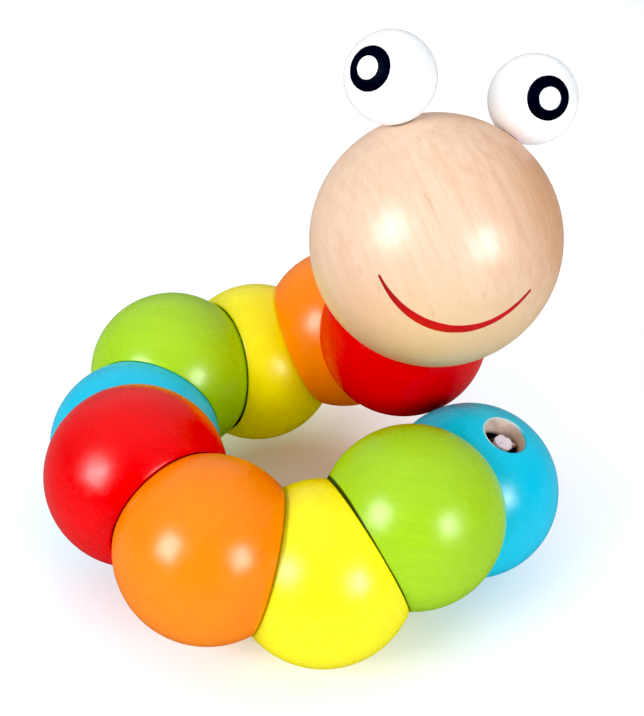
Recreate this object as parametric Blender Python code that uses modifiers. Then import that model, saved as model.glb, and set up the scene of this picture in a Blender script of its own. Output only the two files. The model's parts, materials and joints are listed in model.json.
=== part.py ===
"""Twisting wooden worm: ball beads with cupped tails, turning on one elastic cord.

Each bead is a turned ball. A spherical cup in its tail side takes the next bead, and its
cord bore makes an elbow at the ball's centre, so a bead turns about the line that joins
its centre with its neighbour's, and the cord lies on that line where two beads meet.
Metres and degrees, +Z up. The worm lies coiled on the table, with its head raised.
"""

import math

import bmesh
import bpy
from mathutils import Matrix, Vector

# ---- driving dimensions -------------------------------------------------------------
BEAD_R = 0.0140          # body bead, 28 mm ball
HEAD_R = 0.01940         # head, 39 mm ball
NECK = 0.02325           # head centre to first bead's centre
EYE_R = 0.00692          # eye, 13.8 mm ball
EYE_REACH = 0.02605      # head centre to eye centre
EYE_SPREAD = 27.1        # each eye's angle from the crown
CUP_GAP = 0.0004         # room between a ball and the cup it turns in
RIM_ROUND = 0.0005       # how far the cup's rim is rounded off
BORE_R = 0.0021          # cord bore
CORD_R = 0.0013          # elastic cord
CORD_GAP = 0.0003        # between the ends of two lengths of cord
CORD_BEND = 0.0022       # length of each leg of the cord's bend, or less in a deep cup
HEAD_BORE_R = 0.00275    # blind bore in the head, wide enough for cord and wedge
HEAD_BORE_END = 0.0040   # how far the blind bore runs past the head's centre
NECK_DOWN = 51.3         # neck bore below the level of the face, at the back of the head
NECK_SIDE = 15.5         # neck bore off the middle of the face
PEG_R = 0.0015           # eye dowel
PEG_GAP = 0.0003
PEG_IN = 0.0060          # dowel's length in each ball
WEDGE_R = 0.0010         # wedge that jams the cord in the head
KNOT_HOLE_R = 0.00365    # open hole for the knot, in the tail bead
KNOT_FLOOR = 0.0062      # bottom of that hole, from the bead's centre
KNOT_R = 0.0030
KNOT_H = 0.0042
KNOT_STUB = 0.0013       # cord end standing out of the knot

# name, colour, elbow of its cord bore, how far it is turned in the cup before it, and
# the distance to the next bead's centre, which its cup's depth sets
BEADS = (
    ("red_bead_1", "red", 46.1, 46.4, 0.01683),
    ("orange_bead_1", "orange", 47.4, -96.8, 0.01723),
    ("yellow_bead_1", "yellow", 45.8, 38.2, 0.01681),
    ("green_bead_1", "green", 48.3, -80.4, 0.01663),
    ("blue_bead_1", "blue", 43.5, 81.5, 0.01754),
    ("red_bead_2", "red", 46.0, -92.7, 0.01789),
    ("orange_bead_2", "orange", 47.9, 32.1, 0.01746),
    ("yellow_bead_2", "yellow", 43.8, 57.5, 0.01574),
    ("green_bead_2", "green", 46.0, -110.3, 0.01685),
    ("blue_tail_bead", "blue", 101.2, 166.3, 0.0),
)
FEET = ("yellow_bead_1", "blue_bead_1", "blue_tail_bead")  # the table touches these
FACING = -9.9            # compass direction from the first blue bead to the tail bead

STEPS = 20               # sides of a turned bead
HEAD_STEPS = 24

COLOURS = {              # linear colour, roughness
    "red": ((0.74, 0.004, 0.004), 0.28),
    "orange": ((0.95, 0.28, 0.012), 0.28),
    "yellow": ((0.95, 0.88, 0.02), 0.28),
    "green": ((0.43, 0.75, 0.03), 0.28),
    "blue": ((0.01, 0.52, 0.78), 0.28),
    "bare_wood": ((0.88, 0.66, 0.42), 0.35),
    "eye_white": ((0.94, 0.94, 0.94), 0.25),
    "dowel_wood": ((0.70, 0.50, 0.30), 0.6),
    "elastic": ((0.68, 0.62, 0.68), 0.8),
}


# ---- scene ---------------------------------------------------------------------------
for old in list(bpy.data.objects):
    bpy.data.objects.remove(old, do_unlink=True)
scene = bpy.context.scene
parts = bpy.data.collections.new("twisting_worm")
cutters = bpy.data.collections.new("cutters")
scene.collection.children.link(parts)
scene.collection.children.link(cutters)
cutters.hide_render = True

MATERIALS = {}
for key, (rgb, rough) in COLOURS.items():
    mat = bpy.data.materials.new(key)
    mat.use_nodes = True
    shader = mat.node_tree.nodes["Principled BSDF"]
    shader.inputs["Base Color"].default_value = (*rgb, 1.0)
    shader.inputs["Roughness"].default_value = rough
    shader.inputs["Metallic"].default_value = 0.0
    MATERIALS[key] = mat

root = bpy.data.objects.new("worm", None)
parts.objects.link(root)


# ---- shape helpers -------------------------------------------------------------------
def place(obj, frame, parent=None):
    obj.parent = parent or root
    obj.matrix_local = frame


def turned(name, profile, material, steps=STEPS, collection=None):
    """A profile of (radius, height) points from the top down, turned about Z."""
    mesh = bpy.data.meshes.new(name)
    bm = bmesh.new()
    verts = [bm.verts.new((r, 0.0, z)) for r, z in profile]
    for a, b in zip(verts, verts[1:]):
        bm.edges.new((a, b))
    bm.to_mesh(mesh)
    bm.free()
    obj = bpy.data.objects.new(name, mesh)
    (collection or parts).objects.link(obj)
    screw = obj.modifiers.new("turn", "SCREW")
    screw.axis = "Z"
    screw.steps = steps
    screw.render_steps = steps
    screw.use_merge_vertices = True
    screw.merge_threshold = 1e-6
    screw.use_smooth_shade = True
    if material:
        mesh.materials.append(MATERIALS[material])
    return obj


def cylinder_cutter(name, radius, start, end, sides=16):
    """A closed cylinder from start to end, as a cutter."""
    start, end = Vector(start), Vector(end)
    mesh = bpy.data.meshes.new(name)
    bm = bmesh.new()
    bmesh.ops.create_cone(bm, cap_ends=True, segments=sides, radius1=radius, radius2=radius, depth=(end - start).length)
    bm.to_mesh(mesh)
    bm.free()
    obj = bpy.data.objects.new(name, mesh)
    cutters.objects.link(obj)
    turn = (end - start).to_track_quat("Z", "X").to_matrix().to_4x4()
    return obj, Matrix.Translation((start + end) / 2) @ turn


def cut(obj, cutter):
    cutter.hide_render = True
    cutter.display_type = "WIRE"
    mod = obj.modifiers.new("cut", "BOOLEAN")
    mod.operation = "DIFFERENCE"
    mod.solver = "EXACT"
    mod.object = cutter


def cord(name, points, radius, parent):
    """A length of cord through the points, in the frame of its bead."""
    curve = bpy.data.curves.new(name, "CURVE")
    curve.dimensions = "3D"
    spline = curve.splines.new("POLY")
    spline.points.add(len(points) - 1)
    for point, co in zip(spline.points, points):
        point.co = (*co, 1.0)
    curve.bevel_depth = radius
    curve.bevel_resolution = 2
    curve.use_fill_caps = True
    curve.materials.append(MATERIALS["elastic"])
    obj = bpy.data.objects.new(name, curve)
    parts.objects.link(obj)
    place(obj, Matrix.Identity(4), parent)
    return obj


def arc(radius, centre_z, first, last, count):
    """Points (radius, height) on a circle about (0, centre_z), angles from the top."""
    return [
        (radius * math.sin(a), centre_z + radius * math.cos(a))
        for a in (first + (last - first) * i / count for i in range(count + 1))
    ]


def corner(before, tip, after, count=2):
    """A corner rounded off between two points on either side of it."""
    out = []
    for i in range(count + 1):
        t = i / count
        out.append(tuple((1 - t) ** 2 * b + 2 * t * (1 - t) * c + t * t * a for b, c, a in zip(before, tip, after)))
    return out


def cupped_ball(ball, reach, bore, bore_end, rings):
    """Profile of a ball with a cup below it, for a bead whose centre is reach away, and a bore up the middle."""
    cup = BEAD_R + CUP_GAP
    tip_z = -(ball**2 + reach**2 - cup**2) / (2 * reach)
    tip = (math.sqrt(ball**2 - tip_z**2), tip_z)
    rim = math.acos(tip_z / ball)
    outer = arc(ball, 0.0, 0.0, rim - RIM_ROUND / ball, rings)
    outer[0] = (0.0, ball)
    inner_rim = math.acos((tip_z + reach) / cup)
    mouth = math.asin(bore / cup)
    inner = arc(cup, -reach, inner_rim - RIM_ROUND / cup, mouth, 5)
    return outer[:-1] + corner(outer[-1], tip, inner[0]) + inner[1:] + [(bore, bore_end), (0.0, bore_end)]


def bent(first, last, into, out):
    """Points of a cord that comes in along one direction, bends at the centre and leaves along another."""
    into, out = Vector(into), Vector(out)
    leg = min(CORD_BEND, 0.85 * last)
    a, b = -into * leg, out * leg
    path = [-into * first, -into * (first + leg) / 2]
    for i in range(5):
        t = i / 4
        path.append((1 - t) ** 2 * a + t * t * b)
    return path + [out * last]


# ---- the head ------------------------------------------------------------------------
down, side = math.radians(NECK_DOWN), math.radians(NECK_SIDE)
neck = Vector((math.cos(down) * math.sin(side), math.cos(down) * math.cos(side), -math.sin(down)))
up = Vector((0.0, 0.0, 1.0))
up = (up - neck * up.dot(neck)).normalized()
link = Matrix((neck, up.cross(neck), up)).transposed()      # X along the cord, Z towards the crown


def bead_frame(link, centre):
    """Frame of a turned piece whose cup looks along the link."""
    x, y, z = link.col
    return Matrix.Translation(centre) @ Matrix((y, -z, -x)).transposed().to_4x4()


head = turned("head", cupped_ball(HEAD_R, NECK, HEAD_BORE_R, HEAD_BORE_END, 11), "bare_wood", HEAD_STEPS)
head_frame = bead_frame(link, Vector())
place(head, head_frame)
to_head = head_frame.inverted()

seat_r = EYE_R + PEG_GAP
hole_r = PEG_R + PEG_GAP
for label, sign in (("left", -1.0), ("right", 1.0)):
    spread = math.radians(EYE_SPREAD) * sign
    axis = Vector((math.sin(spread), 0.0, math.cos(spread)))
    eye_frame = Matrix.Translation(axis * EYE_REACH) @ axis.to_track_quat("Z", "Y").to_matrix().to_4x4()
    mouth = math.pi - math.asin(hole_r / EYE_R)
    ball = arc(EYE_R, 0.0, 0.0, mouth, 10)
    ball[0] = (0.0, EYE_R)
    hole_top = -EYE_R + PEG_IN
    eye = turned(f"{label}_eye", ball + [(hole_r, hole_top), (0.0, hole_top)], "eye_white", 18)
    place(eye, to_head @ eye_frame, head)

    seat_mouth = math.pi - math.asin(hole_r / seat_r)
    seat = arc(seat_r, 0.0, 0.0, seat_mouth, 12)
    seat[0] = (0.0, seat_r)
    hole_end = -EYE_REACH + HEAD_R - PEG_IN
    seat_cutter = turned(f"{label}_eye_seat", seat + [(hole_r, hole_end), (0.0, hole_end)], None, 18, cutters)
    place(seat_cutter, to_head @ eye_frame, head)
    cut(head, seat_cutter)

    top, bottom = hole_top - PEG_GAP, hole_end + PEG_GAP
    edge = 0.0003
    peg = turned(
        f"{label}_eye_peg",
        [(0.0, top), (PEG_R - edge, top), (PEG_R, top - edge), (PEG_R, bottom + edge), (PEG_R - edge, bottom), (0.0, bottom)],
        "dowel_wood",
        12,
    )
    place(peg, to_head @ eye_frame, head)

# the cord's end in the head lies beside the wedge that jams it
shift = HEAD_BORE_R - CORD_R - PEG_GAP
first_z = -(NECK - BEAD_R - CORD_GAP / 2 - CUP_GAP / 2)
last_z = HEAD_BORE_END - 0.0009
path = []
for i in range(11):
    t = i / 10
    z = first_z + (last_z - first_z) * t
    s = min(max((t - 0.12) / 0.45, 0.0), 1.0)
    path.append((-shift * s * s * (3 - 2 * s), 0.0, z))
cord("head_cord", path, CORD_R, head)
wedge_x = HEAD_BORE_R - PEG_GAP - WEDGE_R
wedge_top, wedge_end = HEAD_BORE_END - 0.0006, -0.0022
wedge = turned(
    "head_cord_wedge",
    [(0.0, wedge_top), (WEDGE_R * 0.75, wedge_top), (WEDGE_R * 0.95, wedge_top - 0.0004), (WEDGE_R, wedge_end + 0.0004), (WEDGE_R * 0.8, wedge_end), (0.0, wedge_end)],
    "dowel_wood",
    10,
)
place(wedge, Matrix.Translation((wedge_x, 0.0, 0.0)), head)

# ---- the beads -----------------------------------------------------------------------
objects = {"head": head}
centres = {"head": Vector()}
centre = neck * NECK
for name, colour, elbow, turn, pitch in BEADS:
    into = link.col[0].copy()
    bend = math.radians(elbow)
    link = link @ Matrix.Rotation(math.radians(turn), 3, "X") @ Matrix.Rotation(bend, 3, "Z")
    tail = name == BEADS[-1][0]
    if tail:
        mouth = math.pi - math.asin(KNOT_HOLE_R / BEAD_R)
        edge = RIM_ROUND
        ball = arc(BEAD_R, 0.0, 0.0, mouth - edge / BEAD_R, 10)
        ball[0] = (0.0, BEAD_R)
        tip = (KNOT_HOLE_R, BEAD_R * math.cos(mouth))
        profile = ball[:-1] + corner(ball[-1], tip, (KNOT_HOLE_R, tip[1] + edge))
        profile += [(KNOT_HOLE_R, -KNOT_FLOOR), (BORE_R, -KNOT_FLOOR), (BORE_R, 0.0011), (0.0, 0.0011)]
    else:
        profile = cupped_ball(BEAD_R, pitch, BORE_R, 0.0011, 9)
    bead = turned(name, profile, colour)
    place(bead, bead_frame(link, centre))
    # the bore from the ball's front to its centre
    front = Vector((math.sin(bend), 0.0, math.cos(bend)))
    bore, bore_frame = cylinder_cutter(f"{name}_bore", BORE_R, front * -0.0009, front * (BEAD_R + 0.002))
    place(bore, bore_frame, bead)
    cut(bead, bore)

    start = BEAD_R + CUP_GAP / 2 - CORD_GAP / 2
    away = Vector((0.0, 0.0, -1.0))
    if tail:
        cord("blue_tail_cord", bent(start, KNOT_FLOOR - CORD_GAP, -front, away), CORD_R, bead)
        low, high = KNOT_FLOOR + PEG_GAP, KNOT_FLOOR + PEG_GAP + KNOT_H
        # widest at the middle, with the cord's cut end standing out of it
        belly = [
            (KNOT_R * math.sin(math.pi * t) ** 0.45, -low - KNOT_H * (1 - t))
            for t in (0.14, 0.3, 0.5, 0.7, 0.86)
        ][::-1]
        stub = -(high + KNOT_STUB)
        knot = turned(
            "tail_knot",
            [(0.0, -low)] + belly + [(CORD_R, -high + 0.0002), (CORD_R, stub + 0.0003), (CORD_R - 0.0003, stub), (0.0, stub)],
            "elastic",
            14,
        )
        place(knot, Matrix.Identity(4), bead)
    else:
        reach = pitch - BEAD_R - CUP_GAP / 2 - CORD_GAP / 2
        cord(name.replace("bead", "cord"), bent(start, reach, -front, away), CORD_R, bead)
    objects[name] = bead
    centres[name] = centre.copy()
    centre = centre + link.col[0] * pitch

# ---- laid on the table ---------------------------------------------------------------
a, b, c = (centres[n] for n in FEET)
level = (b - a).cross(c - a).normalized()
if level.dot(centres["head"] - a) < 0:
    level = -level
flat = level.rotation_difference(Vector((0.0, 0.0, 1.0))).to_matrix()
way = flat @ (centres["blue_tail_bead"] - centres["blue_bead_1"])
spin = Matrix.Rotation(math.radians(FACING) - math.atan2(way.y, way.x), 3, "Z")
root.matrix_world = (spin @ flat).to_4x4()
bpy.context.view_layer.update()

# the origin is under the middle of the whole toy
graph = bpy.context.evaluated_depsgraph_get()
lows, highs = Vector((9.0, 9.0, 9.0)), Vector((-9.0, -9.0, -9.0))
for obj in parts.objects:
    if obj.type == "EMPTY":
        continue
    shown = obj.evaluated_get(graph)
    mesh = shown.to_mesh()
    for vert in mesh.vertices:
        co = shown.matrix_world @ vert.co
        lows = Vector(map(min, lows, co))
        highs = Vector(map(max, highs, co))
    shown.to_mesh_clear()
middle = (lows + highs) / 2
root.matrix_world = Matrix.Translation((-middle.x, -middle.y, -lows.z)) @ root.matrix_world
bpy.context.view_layer.update()
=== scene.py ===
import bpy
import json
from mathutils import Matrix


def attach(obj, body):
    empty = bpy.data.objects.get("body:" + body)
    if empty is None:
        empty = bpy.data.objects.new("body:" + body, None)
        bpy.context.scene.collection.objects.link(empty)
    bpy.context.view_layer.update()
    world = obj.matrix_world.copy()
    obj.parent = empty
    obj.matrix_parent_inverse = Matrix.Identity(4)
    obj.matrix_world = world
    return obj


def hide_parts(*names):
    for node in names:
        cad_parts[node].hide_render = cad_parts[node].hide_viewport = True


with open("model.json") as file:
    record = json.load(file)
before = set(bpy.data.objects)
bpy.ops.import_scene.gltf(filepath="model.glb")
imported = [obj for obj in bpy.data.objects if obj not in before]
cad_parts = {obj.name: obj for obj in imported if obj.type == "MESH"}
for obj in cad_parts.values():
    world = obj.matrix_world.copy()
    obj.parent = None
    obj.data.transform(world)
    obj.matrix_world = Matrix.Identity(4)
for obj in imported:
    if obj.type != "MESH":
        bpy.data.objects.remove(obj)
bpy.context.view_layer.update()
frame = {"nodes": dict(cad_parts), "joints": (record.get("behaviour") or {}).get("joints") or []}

import json
import math

import bmesh
import bpy
import numpy as np
from mathutils import Euler, Matrix, Vector, noise

# =====================================================================================
# Dimensions, in metres and degrees. The first block repeats the CAD source.
# =====================================================================================
BEAD_R = 0.0140
HEAD_R = 0.01940
NECK = 0.02325
NECK_DOWN, NECK_SIDE = 51.3, 15.5
EYE_R = 0.00692
EYE_REACH = 0.02605
EYE_SPREAD = 27.1
BORE_R = 0.0021
CORD_R = 0.0013
CORD_GAP = 0.0003
CORD_BEND = 0.0022
CAD_CUP_GAP = 0.0004
HEAD_BORE_R = 0.00275
HEAD_BORE_END = 0.0040
PEG_GAP = 0.0003
PEG_R = 0.0015
PEG_IN = 0.0060
KNOT_HOLE_R = 0.00365
KNOT_FLOOR = 0.0062
HOLE_SEEN = 0.0034       # the tail hole inside its worn edge
FIRST_ELBOW, FIRST_TURN = 46.1, 46.4
HOLE_ELBOW, HOLE_TURN = 101.2, 166.3
CHAIN = ["head", "red_1", "orange_1", "yellow_1", "green_1", "blue_1", "red_2", "orange_2", "yellow_2", "green_2", "tail"]

CUP_GAPS = {             # what shows between a bead's cup and the ball that turns in it
    "head": 0.00016, "red_1": 0.00014, "orange_1": 0.00016, "yellow_1": 0.00024, "green_1": 0.00005,
    "blue_1": 0.00012, "red_2": 0.00015, "orange_2": 0.00013, "yellow_2": 0.00014, "green_2": 0.00012,
}
RIM_ROUND = 0.00048      # rounding of a cup's rim, and of three crisper ones
CRISP_RIMS = {"green_1": 0.00022, "blue_1": 0.00034, "yellow_2": 0.00030}
CUP_LEAN = {"yellow_1": -0.00014, "yellow_2": 0.00012}      # how much higher than its ball a cup sits
SEAM_SHADE = {            # painted shade: a dark line on a ball under the rim of the bead it turns in, by distance from its centre towards that bead, and how dark
    "yellow_2": (0.00850, 0.00885, 0.45), "green_2": (0.00775, 0.00797, 0.94),
}
STEPS = 128              # sides of a turned bead
RINGS = 72

rad = math.radians


# =====================================================================================
# Where everything sits: bead centres and cord directions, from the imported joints
# =====================================================================================
joints = {j["name"]: j for j in frame["joints"]}
centre, way = [None] * 11, [None] * 10
for k in range(10):
    j = joints[(CHAIN[k] if k < 8 else CHAIN[k + 1]) + "_turn"]
    centre[k + 1] = Vector(j["pos_m"])
    way[k] = (Vector(j["axis"]) * (1 if k < 8 else -1)).normalized()
centre[0] = centre[1] - way[0] * NECK


def basis(x, y, z):
    return Matrix((x, y, z)).transposed()


def link_after(k):
    """Frame of the link after bead k: X along the cord, Z square to the elbow."""
    z = way[k - 1].cross(way[k]).normalized()
    return basis(way[k], z.cross(way[k]), z)


def turn_bend(link, turn, bend):
    return link @ Matrix.Rotation(rad(turn), 3, "X") @ Matrix.Rotation(rad(bend), 3, "Z")


# the head's own frame: X to its right, Z to its crown, the face looks along -Y
down, side = rad(NECK_DOWN), rad(NECK_SIDE)
neck = Vector((math.cos(down) * math.sin(side), math.cos(down) * math.cos(side), -math.sin(down)))
up = (Vector((0, 0, 1)) - neck * neck.z).normalized()
neck_link = basis(neck, up.cross(neck), up)
first = turn_bend(neck_link, FIRST_TURN, FIRST_ELBOW)
HEAD_ROT = link_after(1) @ first.inverted()
HEAD = Matrix.Translation(centre[0]) @ HEAD_ROT.to_4x4()
hole_way = (turn_bend(link_after(9), HOLE_TURN, HOLE_ELBOW)).col[0].normalized()


def bead_frame(k):
    """A bead's own frame: the cup looks along -Z, the cord comes in from the +X +Z side."""
    z = -(way[k] if k < 10 else hole_way)
    front = -way[k - 1]
    x = (front - z * front.dot(z)).normalized()
    return Matrix.Translation(centre[k]) @ basis(x, z.cross(x), z).to_4x4()


def elbow_of(k):
    return math.acos(max(-1.0, min(1.0, way[k - 1].dot(way[k] if k < 10 else hole_way))))


# =====================================================================================
# Materials
# =====================================================================================
def principled(name):
    mat = bpy.data.materials.new(name)
    mat.use_nodes = True
    tree = mat.node_tree
    tree.nodes.clear()
    out = tree.nodes.new("ShaderNodeOutputMaterial")
    shader = tree.nodes.new("ShaderNodeBsdfPrincipled")
    tree.links.new(shader.outputs[0], out.inputs[0])
    return mat, tree, shader


def add(tree, kind, values=None, **props):
    node = tree.nodes.new(kind)
    for key, value in props.items():
        setattr(node, key, value)
    for key, value in (values or {}).items():
        node.inputs[key].default_value = value
    return node


def wire(tree, a, out, b, into):
    tree.links.new(a.outputs[out], b.inputs[into])


def ramp(tree, source, out, stops):
    node = add(tree, "ShaderNodeValToRGB")
    ends = node.color_ramp.elements
    while len(ends) < len(stops):
        ends.new(0.5)
    for e, (p, c) in zip(ends, stops):
        e.position = p
        e.color = (*c, 1.0) if hasattr(c, "__len__") else (c, c, c, 1.0)
    wire(tree, source, out, node, "Fac")
    return node


def spread(tree, source, out, low, high, start=0.0, end=1.0, smooth=False):
    node = add(tree, "ShaderNodeMapRange", {1: start, 2: end, 3: low, 4: high})
    if smooth:
        node.interpolation_type = "SMOOTHSTEP"
    wire(tree, source, out, node, 0)
    return node


def mixed(tree, fac, fac_out, a, b, blend="MIX"):
    """A colour mix. a and b are colours, or (node, output)."""
    node = add(tree, "ShaderNodeMix", data_type="RGBA", blend_type=blend)
    if hasattr(fac, "outputs"):
        tree.links.new(fac.outputs[fac_out], node.inputs[0])
    else:
        node.inputs[0].default_value = fac
    for socket, value in ((6, a), (7, b)):
        if hasattr(value[0], "outputs"):
            tree.links.new(value[0].outputs[value[1]], node.inputs[socket])
        else:
            node.inputs[socket].default_value = (*value, 1.0)
    return node


def math_node(tree, op, a, a_out, b=None, b_out=None, clamp=False):
    node = add(tree, "ShaderNodeMath", operation=op, use_clamp=clamp)
    wire(tree, a, a_out, node, 0)
    if hasattr(b, "outputs"):
        wire(tree, b, b_out, node, 1)
    elif b is not None:
        node.inputs[1].default_value = b
    return node


def bumps(tree, shader, *layers):
    """Each layer is (node, output, height in metres)."""
    last = None
    for source, out, height in layers:
        node = add(tree, "ShaderNodeBump", {"Strength": 1.0, "Distance": height})
        wire(tree, source, out, node, "Height")
        if last:
            wire(tree, last, "Normal", node, "Normal")
        last = node
    wire(tree, last, "Normal", shader, "Normal")


def depth_along(tree, place, point, direction):
    """How far along a direction a spot lies, counted from a point."""
    move = add(tree, "ShaderNodeVectorMath", {1: tuple(point)}, operation="SUBTRACT")
    wire(tree, place, "Object", move, 0)
    node = add(tree, "ShaderNodeVectorMath", {1: tuple(direction)}, operation="DOT_PRODUCT")
    wire(tree, move, "Vector", node, 0)
    return node


def scaled(rgb, k, white=0.0):
    return tuple(min(1.0, c * k * (1 - white) + white) for c in rgb)


def lacquer(name, rgb, seed, rough=0.265, grain_k=0.95, deep=None, bump=1.0, painted_shade=None):
    """Coloured lacquer over turned wood: the grain shows faintly through it, it pools a little,
    and dust and small dents catch the light."""
    mat, tree, shader = principled(name)
    place = add(tree, "ShaderNodeTexCoord")
    move = add(tree, "ShaderNodeMapping", {"Location": (0.13 * seed, -0.07 * seed, 0.05 * seed), "Rotation": (0.5 + 0.7 * seed, 0.9 * seed, 0.35 * seed)})
    wire(tree, place, "Object", move, "Vector")
    along = add(tree, "ShaderNodeMapping", {"Scale": (1.0, 1.0, 0.07)})
    wire(tree, move, "Vector", along, "Vector")
    grain = add(tree, "ShaderNodeTexNoise", {"Scale": 1500.0, "Detail": 4.0, "Roughness": 0.6, "Distortion": 0.25})
    wire(tree, along, "Vector", grain, "Vector")
    band = add(tree, "ShaderNodeTexNoise", {"Scale": 330.0, "Detail": 3.0, "Roughness": 0.55, "Distortion": 0.4})
    wire(tree, along, "Vector", band, "Vector")
    pool = add(tree, "ShaderNodeTexNoise", {"Scale": 95.0, "Detail": 2.0, "Roughness": 0.5})
    wire(tree, move, "Vector", pool, "Vector")
    peel = add(tree, "ShaderNodeTexNoise", {"Scale": 620.0, "Detail": 3.0, "Roughness": 0.55})
    wire(tree, move, "Vector", peel, "Vector")
    dots = add(tree, "ShaderNodeTexVoronoi", {"Scale": 210.0, "Randomness": 1.0})
    wire(tree, move, "Vector", dots, "Vector")

    deep = deep or scaled(rgb, 0.86)
    streak = spread(tree, grain, "Fac", 0.0, 1.0, 0.38, 0.62, True)
    body = mixed(tree, streak, 0, scaled(rgb, grain_k), rgb)
    bands = spread(tree, band, "Fac", 0.0, 0.30, 0.46, 0.66, True)
    body = mixed(tree, bands, 0, (body, 2), scaled(rgb, 1.07))
    pooled = spread(tree, pool, "Fac", 0.0, 0.30, 0.52, 0.74, True)
    body = mixed(tree, pooled, 0, (body, 2), deep)
    speck = spread(tree, dots, "Distance", 0.22, 0.0, 0.022, 0.034, True)
    body = mixed(tree, speck, 0, (body, 2), scaled(rgb, 0.45))
    if painted_shade:
        # painted shade: a dark line where the next bead's rim turns on this ball, more of it on the upper side
        along_axis = depth_along(tree, place, painted_shade[0], painted_shade[1])
        across = depth_along(tree, place, painted_shade[0], painted_shade[2])
        more = spread(tree, across, "Value", 0.0, 0.00034, -0.002, 0.006, True)
        uneven = spread(tree, pool, "Fac", -0.00010, 0.00010, 0.3, 0.7)
        line = math_node(tree, "ADD", along_axis, "Value", more, 0)
        line = math_node(tree, "ADD", line, 0, uneven, 0)
        seam_shade_mask = spread(tree, line, 0, 0.0, painted_shade[5], painted_shade[3], painted_shade[4], True)
        body = mixed(tree, seam_shade_mask, 0, (body, 2), scaled(rgb, 0.035))
    wire(tree, body, 2, shader, "Base Color")

    shine = spread(tree, peel, "Fac", rough - 0.035, rough + 0.045, 0.3, 0.7)
    worn = spread(tree, pool, "Fac", 0.0, 0.05, 0.45, 0.62, True)
    shine = math_node(tree, "ADD", shine, 0, worn, 0)
    wire(tree, shine, 0, shader, "Roughness")
    dent = spread(tree, dots, "Distance", 0.0, 1.0, 0.0, 0.07, True)
    bumps(tree, shader, (peel, "Fac", 0.0000035 * bump), (grain, "Fac", 0.0000022 * bump), (dent, 0, 0.0000015 * bump))
    shader.inputs["IOR"].default_value = 1.38
    return mat


def wood_turn(axis, ring):
    """Rotation that takes the grain's direction to Z and the ring direction to X."""
    z = Vector(axis).normalized()
    x = Vector(ring)
    x = (x - z * x.dot(z)).normalized()
    return basis(x, z.cross(x), z).inverted()


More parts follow.
